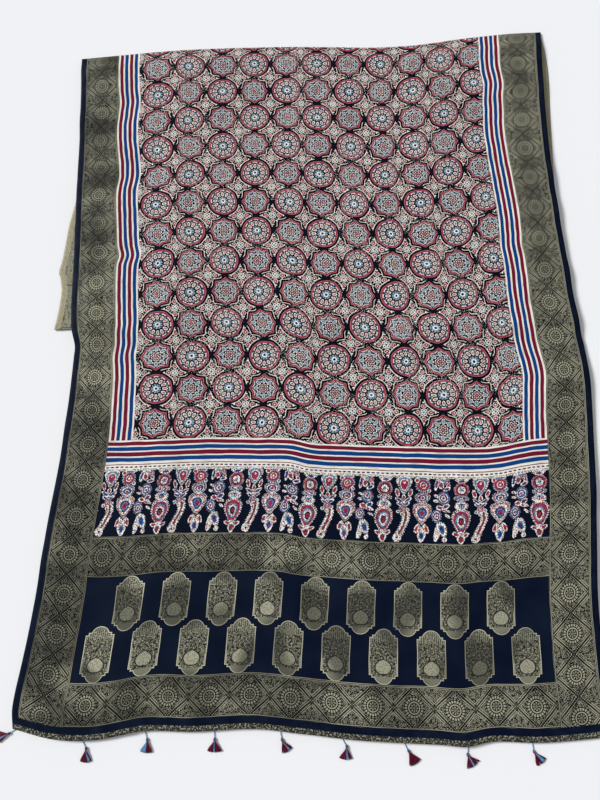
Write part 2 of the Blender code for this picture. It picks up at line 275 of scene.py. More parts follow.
def buildCloth(materials):
    points, widths, lengths = sheetGrid()
    rowCount, columnCount = points.shape[:2]
    normals = gridNormals(points)
    half = cloth["thickness"] / 2
    front = (points + normals * half).reshape(-1, 3)
    back = (points - normals * half).reshape(-1, 3)
    vertices = np.concatenate([front, back])
    total = rowCount * columnCount
    flat = pressedPlaces(widths, lengths).reshape(-1, 2)
    index = np.arange(total).reshape(rowCount, columnCount)
    quads = np.stack([index[:-1, :-1], index[:-1, 1:], index[1:, 1:], index[1:, :-1]], 2).reshape(-1, 4)
    rim = np.concatenate([index[0, :], index[1:, -1], index[-1, -2::-1], index[-2:0:-1, 0]])
    nextRim = np.roll(rim, -1)
    rimQuads = np.stack([nextRim, rim, rim + total, nextRim + total], 1)
    faces = np.concatenate([quads, quads[:, ::-1] + total, rimQuads])
    mesh = bpy.data.meshes.new("shawl")
    mesh.from_pydata(vertices.tolist(), [], faces.tolist())
    bandOfColumn = np.repeat(np.arange(7), bandsAcross["cells"])
    bandOfRow = np.repeat(np.arange(8), bandsUp["cells"])
    bandOfRow = np.append(bandOfRow, np.full(rowCount - 1 - len(bandOfRow), 7))
    frontSlots = [zoneNames.index(frontZone(c, r)) for r in bandOfRow for c in bandOfColumn]
    backNames = {0: "reverseEdge", 6: "reverseEdge", 1: "reverseGold", 5: "reverseGold"}
    backSlots = [zoneNames.index(backNames.get(c, "reversePrint")) for r in bandOfRow for c in bandOfColumn]
    rimSlots = [zoneNames.index("navyEdge")] * len(rimQuads)
    for name in zoneNames:
        mesh.materials.append(materials[name])
    mesh.polygons.foreach_set("material_index", frontSlots + backSlots + rimSlots)
    corners = np.zeros(len(mesh.loops), np.int32)
    mesh.loops.foreach_get("vertex_index", corners)
    printMap = mesh.uv_layers.new(name="Print")
    printMap.data.foreach_set("uv", flat[corners % total].astype(np.float32).ravel())
    mesh.shade_smooth()
    piece = bpy.data.objects.new("shawl", mesh)
    bpy.context.collection.objects.link(piece)
    low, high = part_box("cloth")
    ownLow, ownHigh = vertices.min(0), vertices.max(0)
    shift = Vector(((low.x + high.x - ownLow[0] - ownHigh[0]) / 2,
                    (low.y + high.y - ownLow[1] - ownHigh[1]) / 2, 0))
    mesh.transform(Matrix.Translation(shift))
    return piece, shift


# Dye and thread colours, as screen values from 0 to 255
dyes = dict(
    navy=(4, 14, 34), ink=(8, 9, 22), maroon=(112, 20, 46), indigo=(10, 62, 124), cream=(232, 229, 220),
    madder=(156, 48, 66), rose=(178, 110, 118), sky=(92, 140, 180), mist=(152, 176, 190), slate=(64, 82, 106), blue=(46, 96, 148),
    zariGround=(16, 18, 22), zariMid=(88, 89, 78), zariPale=(206, 204, 178), zariBack=(140, 132, 106),
    yarn=(84, 6, 38), thread=(70, 146, 200))


def dye(name):
    # a named dye as the linear colour that shaders use
    scaled = [value / 255 for value in dyes[name]]
    return (*((v / 12.92 if v < .04 else ((v + .055) / 1.055) ** 2.4) for v in scaled), 1)


class Wire:
    # one socket of a shader tree, for writing shader maths as plain sums

    def __init__(self, tree, socket=None):
        self.tree = tree
        self.socket = socket

    def node(self, kind, settings=None, ports=None, out=0):
        # any node: its settings first, then the values or links of its sockets
        made = self.tree.nodes.new(kind)
        for name, value in (settings or {}).items():
            if name == "stops":
                fillRamp(made.color_ramp, value)
            else:
                setattr(made, name, value)
        for port, value in (ports or {}).items():
            if isinstance(value, Wire):
                self.tree.links.new(value.socket, made.inputs[port])
            elif isinstance(value, str):
                made.inputs[port].default_value = dye(value)
            else:
                made.inputs[port].default_value = value
        return Wire(self.tree, made.outputs[out])

    def other(self, name):
        # another output of the node that this socket belongs to
        return Wire(self.tree, self.socket.node.outputs[name])

    def maths(self, operation, *values):
        return self.node("ShaderNodeMath", dict(operation=operation), dict(enumerate(values)))

    def vector(self, operation, *values):
        return self.node("ShaderNodeVectorMath", dict(operation=operation), dict(enumerate(values)))

    def __add__(self, value):
        return self.maths("ADD", self, value)

    def __radd__(self, value):
        return self.maths("ADD", value, self)

    def __sub__(self, value):
        return self.maths("SUBTRACT", self, value)

    def __rsub__(self, value):
        return self.maths("SUBTRACT", value, self)

    def __mul__(self, value):
        return self.maths("MULTIPLY", self, value)

    def __rmul__(self, value):
        return self.maths("MULTIPLY", value, self)

    def __truediv__(self, value):
        return self.maths("DIVIDE", self, value)

    def __rtruediv__(self, value):
        return self.maths("DIVIDE", value, self)

    def __mod__(self, value):
        return self.maths("FLOORED_MODULO", self, value)

    def __abs__(self):
        return self.maths("ABSOLUTE", self)

    def __lt__(self, value):
        return self.maths("LESS_THAN", self, value)

    def __gt__(self, value):
        return self.maths("GREATER_THAN", self, value)


def fillRamp(ramp, stops):
    # stops are (place, dye name, grey number or None for clear)
    ramp.interpolation = "CONSTANT"
    ramp.elements.remove(ramp.elements[1])
    for index, (place, colour) in enumerate(stops):
        stop = ramp.elements.new(place) if index else ramp.elements[0]
        stop.position = place
        if colour is None:
            stop.color = (0, 0, 0, 0)
        elif isinstance(colour, str):
            stop.color = dye(colour)
        else:
            stop.color = (colour, colour, colour, 1)


def cos(angle):
    return angle.maths("COSINE", angle)


def floor(value):
    return value.maths("FLOOR", value)


def least(first, second):
    return first.maths("MINIMUM", first, second)


def most(first, second):
    return first.maths("MAXIMUM", first, second)


def length(place):
    return place.vector("LENGTH", place).other("Value")


def parts(place):
    # the two numbers of a place on the cloth
    across = place.node("ShaderNodeSeparateXYZ", {}, {0: place})
    return across, across.other("Y")


def join(across, along):
    return across.node("ShaderNodeCombineXYZ", {}, {0: across, 1: along})


def between(value, low, high):
    return (value > low) * (value < high)


def paint(under, mask, over):
    # lay one colour over another where the mask is 1
    return mask.node("ShaderNodeMix", dict(data_type="RGBA"), {0: mask, 6: under, 7: over}, out=2)


def newMaterial(name, roughness=.6, sheen=.0):
    # a finish with its shader, and the place on the flat cloth in millimetres
    material = bpy.data.materials.new(name)
    material.use_nodes = True
    tree = material.node_tree
    shader = tree.nodes["Principled BSDF"]
    shader.inputs["Roughness"].default_value = roughness
    shader.inputs["Specular IOR Level"].default_value = .06
    shader.inputs["Sheen Weight"].default_value = sheen
    flat = Wire(tree).node("ShaderNodeUVMap", dict(uv_map="Print"))
    place = flat.vector("SCALE", flat)
    place.socket.node.inputs["Scale"].default_value = 1000
    return material, place


def finish(material, colour, bump=None, metallic=None, roughness=None, distance=.0003, strength=.5):
    # link what changes over the surface to the shader
    shader = material.node_tree.nodes["Principled BSDF"]
    ports = {"Base Color": colour, "Metallic": metallic, "Roughness": roughness}
    for port, wire in ports.items():
        if wire is not None:
            material.node_tree.links.new(wire.socket, shader.inputs[port])
    if bump is not None:
        normal = bump.node("ShaderNodeBump", {}, {"Strength": strength, "Distance": distance, "Height": bump})
        material.node_tree.links.new(normal.socket, shader.inputs["Normal"])
    return material


def noise(place, size, detail=1, out=0):
    # soft noise whose blots are about this many millimetres
    return place.node("ShaderNodeTexNoise", dict(noise_dimensions="2D"),
                      {"Vector": place, "Scale": 1 / size, "Detail": detail}, out)


def wander(place, size, amount):
    # push the print about softly, as a block printer's hand does
    blot = noise(place, size, 0, 1)
    return blot.vector("MULTIPLY_ADD", blot, (amount, amount, 0), place)


def cells(place, origin, pitch):
    # repeat a cell: the place from its middle, and the cell's number
    count = place.vector("SUBTRACT", place, (*origin, 0))
    count = count.vector("DIVIDE", count, (*pitch, 1))
    part = count.vector("FRACTION", count)
    local = part.vector("MULTIPLY_ADD", part, (*pitch, 0), (-pitch[0] / 2, -pitch[1] / 2, 0))
    return local, count.vector("FLOOR", count)


def fold(angle, count):
    # fold the angle so that one petal of many is drawn
    return angle.maths("PINGPONG", angle, pi / count)


def turned(radius, angle):
    return radius * cos(angle), radius * angle.maths("SINE", angle)


def ovalDistance(across, along, at, size):
    # 1 on the oval's edge
    place = join(across, along)
    place = place.vector("SUBTRACT", place, (*at, 0))
    return length(place.vector("DIVIDE", place, (*size, 1)))


def rings(under, distance, reach, stops):
    # coloured rings outwards from the middle, clear past the last
    shown = distance.node("ShaderNodeValToRGB", dict(stops=stops), {0: distance / reach})
    return paint(under, shown.other("Alpha"), shown)


def ringStops(reach, *pairs):
    # (outer limit, dye) pairs as ramp stops, with nothing past the last
    starts = [0] + [limit / reach for limit, _ in pairs]
    return list(zip(starts, [name for _, name in pairs] + [None]))


fieldPrint = dict(pitch=(75, 72), origin=(144.5 + 6.5, 551.6), wobble=2.2, star=33.5)


def printedField():
    material, place = newMaterial("printedField", .7)
    place = wander(place, 90, 4)
    place = wander(place, 16, fieldPrint["wobble"])
    local, index = cells(place, fieldPrint["origin"], fieldPrint["pitch"])
    chance = index.node("ShaderNodeTexWhiteNoise", dict(noise_dimensions="2D"), {"Vector": index}, 1)
    inner = chance.vector("MULTIPLY_ADD", chance, (2, 2, 0), local)
    inner = inner.vector("MULTIPLY_ADD", inner, (1.035, 1.035, 0), (-1, -1, 0))
    x, y = parts(inner)
    angle = x.maths("ARCTAN2", y, x)
    radius = length(inner)
    column, row = parts(index)
    isStar = (column + row + 100) % 2 < .5

    # round medallion
    ring = radius.node("ShaderNodeValToRGB", dict(stops=ringStops(
        40, (2.8, "ink"), (5.3, "cream"), (10.6, "mist"), (12.2, "cream"), (14.3, "madder"), (28.2, "cream"),
        (29.4, "rose"), (32.0, "madder"), (33.1, "rose"), (40, "ink"))),
        {0: radius / 40})
    petalX, petalY = turned(radius, fold(angle, 12))
    drop = ovalDistance(petalX, petalY, (18.2, 0), (5.2, 3.1))
    ring = rings(ring, drop, 1.7, ringStops(1.7, (.62, "rose"), (1, "cream"), (1.7, "ink")))
    bead = ovalDistance(petalX, petalY, (25.4, 6.6), (2.1, 2.0))
    ring = rings(ring, bead, 1.4, ringStops(1.4, (1, "indigo"), (1.4, "ink")))
    dotX, dotY = turned(radius, fold(angle, 9))
    ring = paint(ring, ovalDistance(dotX, dotY, (8, 0), (1.8, 1.5)) < 1, "indigo")
    ring = paint(ring, (cos(angle * 44) > .35) * between(radius, 30.1, 31.7), "maroon")

    # eight-pointed star
    tip, side = turned(radius, fold(angle, 8))
    point = tip + .703 * side
    star = point.node("ShaderNodeValToRGB", dict(stops=ringStops(
        40, (26.2, "slate"), (27.6, "cream"), (31.0, "madder"), (32.4, "rose"), (40, "ink"))), {0: point / 40})
    star = paint(star, (cos((x + y) * 1.5) > .45) * (point < 26.6), "mist")
    star = paint(star, (cos(angle * 40) > .35) * between(point, 29.2, 31.0), "maroon")
    facet = .584 * tip + .811 * side
    star = rings(star, facet, 16.4, ringStops(16.4, (14.2, "cream"), (16.4, "ink")))
    petal = ovalDistance(tip, side, (17.5, 0), (5.8, 3.3))
    star = rings(star, petal, 1.5, ringStops(1.5, (.8, "blue"), (1.05, "cream"), (1.5, "ink")))
    chequer = (cos(tip * 1.9) * cos(side * 1.9) > .0) * (petal < .8)
    star = paint(star, chequer, "mist")
    star = paint(star, ovalDistance(tip, side, (11.4, 4.6), (2.2, 2.2)) < 1, "ink")
    star = paint(star, radius < 8.6, "ink")
    star = paint(star, between(radius, 1.8, 8.4) * (cos(angle * 8) > -.35), "madder")
    star = paint(star, ovalDistance(tip, side, (5.2, 0), (1.3, 1.0)) < 1, "cream")
    star = paint(star, radius < 1.8, "sky")
    motif = paint(ring, isStar, star)
    extent = radius + isStar * (point - radius)

    # filling between the medallions
    cornerX, cornerY = parts(local)
    offX = 37.5 - abs(cornerX)
    offY = (36 - abs(cornerY)) * (37.5 / 36)
    far, near = most(offX, offY), least(offX, offY)
    filling = far.node("ShaderNodeValToRGB", dict(stops=ringStops(
        40, (7.6, "ink"), (8.7, "cream"), (40, "ink"))[:-1]), {0: far / 40})
    leaf = ovalDistance(far, near, (3.7, 3.7), (3.6, 3.6))
    filling = rings(filling, leaf, 1, ringStops(1, (.46, "indigo"), (1, "cream")))
    filling = paint(filling, ovalDistance(far, near, (9.2, 4.6), (2.0, 2.6)) < 1, "ink")
    floret = ovalDistance(far, near, (14.6, 0), (6.2, 6.4))
    filling = rings(filling, floret, 1, ringStops(1, (.2, "cream"), (.68, "madder"), (.86, "cream"), (1, "ink")))
    filling = rings(filling, ovalDistance(far, near, (14, 8.4), (2.2, 3.2)), 1.3,
                    ringStops(1.3, (.5, "cream"), (1, "ink")))
    curl = ovalDistance(far, near, (23.4, 1.0), (3.4, 3.0))
    filling = rings(filling, curl, 1.3, ringStops(1.3, (.45, "cream"), (1.3, "ink")))
    colour = paint(motif, extent > 38.2, filling)
    colour = paint(colour, between(extent, 38.2, 39.7) * (far < 29), "cream")

    # uneven dye, with pale specks where the block missed
    across, along = parts(place)
    colour = paint(colour, (noise(place, 5, 2) > .54) * .26, "ink")
    missed = noise(place, 1.8, 0)
    colour = paint(colour, (missed > .76) * (noise(place, 60, 1) > .5) * .9, "cream")
    return finish(material, colour, noise(place, 2.2, 2), distance=.0004, strength=.4)


stripePlan = dict(
    side=[(3.8, "cream"), (11.3, "maroon"), (15.1, "cream"), (22.6, "indigo"), (26.4, "cream"),
          (33.9, "maroon"), (37.7, "cream"), (45.2, "indigo"), (49.2, "cream")],
    cross=[(3.2, "cream"), (10.6, "maroon"), (13.7, "cream"), (21.7, "indigo"), (24.6, "cream"), (33, "maroon"),
           (35.7, "cream"), (44, "indigo"), (48.8, "cream"), (50.5, "maroon"), (59.4, "cream"), (60, "ink")],
    dashPitch=9.7, dashDown=55.1, dashSize=(.36, 1.55))


def stripeTone(colour, place, streak):
    # dye streaks along a stripe
    tone = streak.node("ShaderNodeTexNoise", dict(noise_dimensions="2D"),
                       {"Vector": streak, "Scale": 1, "Detail": 3})
    return paint(colour, (tone > .56) * .28, "ink")


def sideStripes():
    material, place = newMaterial("sideStripes", .7)
    place = wander(place, 26, 1.6)
    across, along = parts(place)
    inward = least(across - 96.2, 1100 - 95.1 - across)
    plan = stripePlan["side"]
    colour = inward.node("ShaderNodeValToRGB", dict(stops=ringStops(60, *plan)[:-1]), {0: inward / 60})
    colour = stripeTone(colour, place, place.vector("MULTIPLY", place, (.6, .035, 0)))
    return finish(material, colour, noise(place, 2.2, 2), distance=.0004, strength=.4)


def crossStripes():
    material, place = newMaterial("crossStripes", .7)
    place = wander(place, 34, 1.4)
    across, along = parts(place)
    down = 550.6 - along
    plan = stripePlan["cross"]
    colour = down.node("ShaderNodeValToRGB", dict(stops=ringStops(60, *plan)[:-1]), {0: down / 60})
    colour = stripeTone(colour, place, place.vector("MULTIPLY", place, (.035, .6, 0)))
    step = across / stripePlan["dashPitch"]
    long, tall = stripePlan["dashSize"]
    dash = join((step.maths("FRACT", step) - .5) / long, (down - stripePlan["dashDown"]) / tall)
    turn = floor(step) % 15
    red = (turn > 3.5) * (turn % 2 < .5)
    dashes = paint(solid(place, "ink"), turn > 3.5, "indigo")
    dashes = paint(dashes, red, "maroon")
    colour = paint(colour, length(dash) < 1, dashes)
    return finish(material, colour, noise(place, 2.2, 2), distance=.0004, strength=.4)


# Hanging border motifs: each piece is an oval or a drop, x and y from the top middle, in millimetres
ringSets = dict(
    redBud=[(.50, "madder"), (.62, "cream"), (.80, "sky"), (1, "cream")],
    redLeaf=[(.62, "madder"), (1, "cream")],
    blueLeaf=[(.62, "indigo"), (1, "cream")],
    skyLeaf=[(.55, "sky"), (1, "cream")],
    whiteLeaf=[(.25, "ink"), (1, "cream")],
    white=[(1, "cream")],
    ball=[(.16, "cream"), (.34, "madder"), (.46, "cream"), (.78, "madder"), (1, "mist")],
    wheel=[(.22, "sky"), (.50, "cream"), (.62, "ink"), (.92, "madder"), (1, "cream")],
    cup=[(.3, "cream"), (.55, "indigo"), (.7, "cream"), (.86, "indigo"), (1, "cream")],
    drop=[(.26, "madder"), (.36, "sky"), (.52, "indigo"), (.74, "cream"), (.84, "madder"), (1, "cream")],
    shield=[(.18, "madder"), (.30, "ink"), (.46, "cream"), (.58, "sky"), (.80, "madder"), (1, "cream")],
    tail=[(.4, "indigo"), (.55, "sky"), (1, "cream")],
    redTail=[(.45, "madder"), (.6, "ink"), (1, "cream")],
    swirl=[(.2, "madder"), (.38, "cream"), (.60, "indigo"), (.72, "cream"), (.9, "indigo"), (1, "mist")])

hangingMotifs = dict(
    feather=dict(
        rings=["blueLeaf", "blueLeaf", "redBud", "white", "redLeaf", "redLeaf", "blueLeaf", "blueLeaf",
               "blueLeaf", "blueLeaf", "redLeaf", "ball", "skyLeaf", "skyLeaf", "redLeaf"],
        x=[-11, 11, 0, 0, -13, 13, 8, -8, 6, -6, 0, 0, -9, 9, 0],
        y=[8, 8, 17, 13, 33, 33, 48, 48, 56, 56, 42, 64, 70, 66, 74],
        wide=[5, 5, 14, 2.4, 4.2, 4.2, 10, 10, 8, 8, 4, 7.5, 4, 4, 4.5],
        tall=[6, 6, 19, 2.4, 9, 9, 3.4, 3.4, 3, 3, 6, 6, 3.4, 3.4, 4.5],
        turn=[30, -30, 0, 0, -18, 18, -32, 32, -30, 30, 0, 0, 20, -20, 0],
        taper=[0, 0, -.55, 0, 0, 0, 0, 0, 0, 0, 0, 0, 0, 0, 0],
        teeth=[0, 0, 26, 0, 0, 0, 0, 0, 0, 0, 0, 0, 0, 0, 0]),
    drop=dict(
        rings=["blueLeaf", "ball", "redLeaf", "skyLeaf", "cup", "redLeaf", "whiteLeaf", "drop", "redLeaf",
               "redLeaf", "whiteLeaf", "whiteLeaf", "tail"],
        x=[0, 0, -12, 12, 0, 0, 0, 0, -10, 10, -3, 3, 0],
        y=[5, 18, 8, 28, 43, 43, 57, 73, 103, 103, 100, 100, 116],
        wide=[13, 15, 5, 4, 15.5, 5, 3.4, 17.5, 4.2, 4.2, 2.6, 2.6, 8.5],
        tall=[5, 14, 5, 4, 12, 4.5, 5, 22, 8.5, 8.5, 8, 8, 13.5],
        turn=[0, 0, 0, 0, 0, 0, 0, 0, 18, -18, -35, 35, 0],
        taper=[0, 0, 0, 0, -.3, 0, 0, -.62, 0, 0, 0, 0, -.35],
        teeth=[12, 18, 0, 0, 26, 0, 0, 44, 0, 0, 0, 0, 0]),
    plume=dict(
        rings=["blueLeaf", "skyLeaf", "redLeaf", "ball", "blueLeaf", "redLeaf", "swirl", "whiteLeaf", "whiteLeaf",
               "redLeaf", "blueLeaf", "swirl", "whiteLeaf", "redLeaf", "whiteLeaf", "white", "white", "tail"],
        x=[-11, 2, -3, 9, 9, 12, 3, -11, -12, -4, 8, -9, 11, 6, 12, -7, 7, 2],
        y=[14, 7, 16, 10, 24, 17, 42, 38, 48, 61, 58, 77, 66, 66, 77, 108, 122, 103],
        wide=[3.6, 9, 6, 6, 8, 4, 12.5, 5, 5, 7, 8, 10, 7, 6, 6, 5.6, 4.5, 9.5],
        tall=[13, 4, 8, 6, 4, 4, 12.5, 2.6, 2.6, 5, 5, 13, 2.4, 3, 2.4, 19, 5, 16],
        turn=[10, 12, -14, 0, -20, 0, 0, 30, 15, 10, -30, -8, 25, 20, 35, 12, 40, -22],
        taper=[0, 0, 0, 0, 0, 0, 0, 0, 0, 0, 0, 0, 0, 0, 0, 0, 0, -.3],
        teeth=[0, 0, 12, 0, 0, 0, 26, 0, 0, 0, 0, 14, 0, 0, 0, 0, 0, 20]),
    shield=dict(
        rings=["skyLeaf", "blueLeaf", "wheel", "cup", "tail", "redLeaf", "redLeaf", "shield", "redLeaf",
               "redLeaf", "white", "redTail"],
        x=[0, 0, 0, 0, 0, -4, 4, 0, -9, 9, 0, 0],
        y=[5, 8, 25, 42, 56, 57, 57, 87, 112, 112, 109, 121],
        wide=[14, 10, 15, 15, 14, 3, 3, 17.5, 8, 8, 6, 7.5],
        tall=[5, 4, 15, 6, 9, 3, 3, 26, 4, 4, 3, 10],
        turn=[0, 0, 0, 0, 0, 0, 0, 0, 24, -24, 0, 0],
        taper=[0, 0, 0, 0, 0, 0, 0, -.45, 0, 0, 0, -.4],
        teeth=[14, 0, 30, 22, 16, 0, 0, 34, 0, 0, 0, 0]))


def stamp(under, place, row):
    # one printed piece, its rings run outwards from its middle
    local = place.node("ShaderNodeMapping", dict(vector_type="TEXTURE"),
                       {0: place, 1: (row["x"], row["y"], 0), 2: (0, 0, radians(row["turn"])),
                        3: (row["wide"], row["tall"], 1)})
    if row["taper"] or row["teeth"]:
        x, y = parts(local)
        if row["taper"]:
            x = x / (1 + row["taper"] * y)
            local = join(x, y)
    distance = length(local)
    if row["teeth"]:
        angle = x.maths("ARCTAN2", y, x)
        distance = distance + .15 * (cos(angle * row["teeth"]) > .1) * (distance > .8)
    return rings(under, distance, 1, ringStops(1, *ringSets[row["rings"]]))


def drawMotif(ground, place, table):
    colour = ground
    for values in zip(*table.values()):
        colour = stamp(colour, place, dict(zip(table, values)))
    return colour


paisleys = dict(count=24, widen=.055, pitch=37.9, left=95.5, width=909, top=491)


def paisleyRow():
    material, place = newMaterial("paisleyRow", .7)
    place = wander(place, 30, 2.4)
    place = wander(place, 6, 1.6)
    across, along = parts(place)
    share = (across - paisleys["left"] - 1.5) / paisleys["width"]
    count = paisleys["count"] * share * (1 + paisleys["widen"] - paisleys["widen"] * share)
    local = join((count.maths("FRACT", count) - .5) * paisleys["pitch"], paisleys["top"] + 1 - along)
    kind = floor(count) % 4
    ground = local.node("ShaderNodeRGB")
    ground.socket.default_value = dye("navy")
    drawn = None
    for number, table in enumerate(hangingMotifs.values()):
        motif = drawMotif(ground, local, table)
        if number == 0:
            motif = addFeatherTail(motif, local)
        drawn = motif if drawn is None else paint(drawn, kind > number - .5, motif)

    # fine block lines broken through the motifs, and crumbs of print under the dashes
    line = place.node("ShaderNodeTexVoronoi", dict(voronoi_dimensions="2D", feature="DISTANCE_TO_EDGE"),
                      {"Vector": place, "Scale": 1 / 4.6})
    broken = noise(place, 14, 1)
    x, down = parts(local)
    drawn = paint(drawn, (line < .07) * (broken > .46) * .8, "ink")
    cover = length(drawn) > .12
    seeds = place.node("ShaderNodeTexVoronoi", dict(voronoi_dimensions="2D"), {"Vector": place, "Scale": 1 / 3.1})
    chance = seeds.node("ShaderNodeSeparateColor", {}, {0: seeds.other("Color")})
    dots = (seeds < .34) * cover
    drawn = paint(drawn, dots * (chance > .62), "madder")
    drawn = paint(drawn, dots * (chance < .30), "indigo")
    drawn = paint(drawn, dots * between(chance, .30, .44), "ink")
    crumbs = noise(place, 1.9, 0)
    drawn = paint(drawn, (down < 3.4) * (crumbs > .5), "cream")
    return finish(material, drawn, noise(place, 2.2, 2), distance=.0004, strength=.4)


def addFeatherTail(under, place):
    # the long curved feather with a red rib, a toothed side and a round foot
    x, y = parts(place)
    lean = x - 7 * cos((y - 78) * (pi / 46))
    tooth = (y / 4.6).maths("FRACT", y / 4.6)
    side = abs(lean) / (5.6 + 3.4 * tooth)
    colour = rings(under, side, 1, ringStops(1, (.16, "madder"), (.30, "ink"), (1, "cream")))
    colour = paint(under, between(y, 69, 118), colour)
    foot = dict(rings="whiteLeaf", x=-8.5, y=121, wide=8.5, tall=8.5, turn=0, taper=0, teeth=0)
    return stamp(colour, place, foot)


# the last two numbers are painted sheen: the thread drawn paler towards the right selvedge and in broad patches
brocade = dict(bead=20, scroll=5.2, lozenge=(39, 37), dull=.20, paintedSheenToRight=.00052, paintedSheenInPatches=.5)


def brocadePattern(local, place):
    # 1 where the metal thread shows: rosette, beads, lozenge, crossed spears and scrolls
    x, y = parts(local)
    radius = length(local)
    angle = x.maths("ARCTAN2", y, x)
    scroll = place.node("ShaderNodeTexVoronoi", dict(voronoi_dimensions="2D"),
                        {"Vector": place, "Scale": 1 / brocade["scroll"]})
    thread = between(scroll, .25, .39) * .75
    speck = noise(place, 1.9, 1)
    thread = most(thread, (speck > .62) * .9)
    across, along = abs(x), abs(y)
    slope = across / brocade["lozenge"][0] + along / brocade["lozenge"][1]
    band = abs(slope - 1)
    nearCross = abs(across - 25) + abs(along - 12) < 16
    dotted = (cos((x - y) * 1.25) > -.35) * (cos((x + y) * 1.25) > -.35)
    thread = thread * (band > .155)
    thread = most(thread, between(band, .06, .12) * most(dotted, nearCross))
    thread = most(thread, (band < .02) * dotted * .6)
    thread = most(thread, between(band, .19, .235) * nearCross)
    inside = radius.node("ShaderNodeValToRGB", dict(stops=[
        (0, 1.), (2.2 / 40, 0.), (3.4 / 40, .6), (7.4 / 40, 0.), (9 / 40, 1.), (11 / 40, 0.),
        (13 / 40, .9), (17.4 / 40, 0.), (19.2 / 40, .7), (20.4 / 40, 0.)]), {0: radius / 40})
    beads = cos(angle * brocade["bead"]) > -.45
    petals = cos(angle * 8) > -.2
    disc = inside * most(beads, radius < 12.5) * most(petals, between(radius, 8, 40))
    keep = radius > 21.4
    return thread * keep + (1 - keep) * disc


def brocadeFinish(local, place, material, edges):
    # dull metal thread with painted sheen: drawn brighter in broad patches, as where the cloth turns to the light, and
    # a little brighter towards the right selvedge
    thread = brocadePattern(local, place)
    thread = most(thread * (edges > 4.4), most(between(edges, .4, 1.6), between(edges, 2.9, 4.0)))
    # painted sheen: broad patches where thread and ground are drawn paler, standing in for highlights on the metal
    paintedSheenPatch = noise(place, 120, 1)
    paintedSheenPatch = paintedSheenPatch.node("ShaderNodeMapRange", dict(interpolation_type="SMOOTHSTEP"), {0: paintedSheenPatch, 1: .40, 2: .62})
    worn = noise(place, 20, 2)
    ground = paint(solid(place, "zariGround"), (worn - .34) * .16 + paintedSheenPatch * .06, "zariMid")
    across, along = parts(place)
    # how pale the thread is: a base, painted sheen growing to the right and in the patches, and less where worn
    paintedSheenAndWear = brocade["dull"] + across * brocade["paintedSheenToRight"] + paintedSheenPatch * brocade["paintedSheenInPatches"] - (worn - .5) * .4
    colour = paint(ground, thread, paint(solid(place, "zariMid"), paintedSheenAndWear, "zariPale"))
    return finish(material, colour, thread, metallic=.2 + thread * .45, roughness=.6 - thread * .2,
                  distance=.0006, strength=.6)


def solid(wire, name):
    # a plain dye as a wire
    colour = wire.node("ShaderNodeRGB")
    colour.socket.default_value = dye(name)
    return colour


def goldSide():
    material, place = newMaterial("goldSide", .45)
    place = wander(place, 40, 1.5)
    across, along = parts(place)
    inward = least(across, 1100 - across)
    count = along / 72.5
    local = join(inward - 54.5, count.maths("FRACT", count) * 72.5 - 36.25)
    edges = least(inward - 12, 96 - inward)
    return brocadeFinish(local, place, material, edges)


def goldBand():
    material, place = newMaterial("goldBand", .45)
    place = wander(place, 40, 1.5)
    across, along = parts(place)
    upper = along > 200
    middle = 61 + upper * (323 - 61)
    count = (across - 95.5 + 12 * upper) / 75.7
    local = join((count.maths("FRACT", count) - .5) * 75.7, along - middle)
    edges = 39 - abs(along - middle)
    return brocadeFinish(local, place, material, edges)


cartouches = dict(pitch=90.7, upperFirst=184, lowerFirst=138.7, upper=236, lower=149, half=(27.5, 50))


def navyEnd():
    material, place = newMaterial("navyEnd", .55)
    place = wander(place, 40, 1.5)
    across, along = parts(place)
    upper = along > (cartouches["upper"] + cartouches["lower"]) / 2
    drawn = solid(place, "navy")
    weave = noise(place, 3, 2)
    drawn = paint(drawn, (noise(place, 60, 1) - .3) * .10, "slate")
    tone = noise(place, 90, 0)
    tone = tone.node("ShaderNodeMapRange", dict(interpolation_type="SMOOTHSTEP"), {0: tone, 1: .38, 2: .62})
    metal = 0
    for first, middle, last in ((cartouches["upperFirst"], cartouches["upper"], 9),
                                (cartouches["lowerFirst"], cartouches["lower"], 10)):
        count = (across - first) / cartouches["pitch"] + .5
        x = (count.maths("FRACT", count) - .5) * cartouches["pitch"]
        y = along - middle
        wide, tall = abs(x), abs(y)
        body = least(most(wide - 27.5, tall - 34), most(wide - 22.5, tall - 38.5))
        dome = ovalDistance(wide, tall, (0, 33), (18, 17)) * 17 - 17
        shape = least(body, dome)
        inRow = between(count, 0, last)
        scroll = place.node("ShaderNodeTexVoronoi", dict(voronoi_dimensions="2D"),
                            {"Vector": place, "Scale": 1 / 4.4})
        leafy = most(between(scroll, .27, .39) * .7, weave > .61)
        pot = ovalDistance(x / (1 + (y + 21) * .022), y + wide * .35, (0, -18), (14.5, 12.5))
        leafy = leafy * (pot > 1.16)
        leafy = most(leafy, (pot < 1) * (.5 + .5 * (weave > .46)))
        leafy = most(leafy * (y > -36), (y < -36) * .45)
        leafy = most(leafy, between(wide, 23.5, 25.2) * (y < -12) * (tall < 34))
        leafy = most(leafy, (cos(x * 1.6) > .5) * (y > 26) * .7)
        inside = (shape < -2.2) * inRow
        rim = between(shape, -1.7, -.2) * inRow
        ground = solid(place, "zariGround")
        drawn = paint(drawn, (shape < 0) * inRow, paint(ground, .16 + leafy * inside * .74, "zariMid"))
        drawn = paint(drawn, leafy * inside * (.16 + .5 * tone), "zariPale")
        drawn = paint(drawn, rim * (.55 + .45 * tone), "zariPale")
        metal = most(rim, leafy * inside) + metal
    return finish(material, drawn, weave, metallic=metal * .5, distance=.0003, strength=.3)


def navyEdge():
    material, place = newMaterial("navyEdge", .55)
    colour = paint(solid(place, "navy"), (noise(place, 30, 2) - .4) * .2, "slate")
    return finish(material, colour, noise(place, 1.5, 1), distance=.0003, strength=.3)


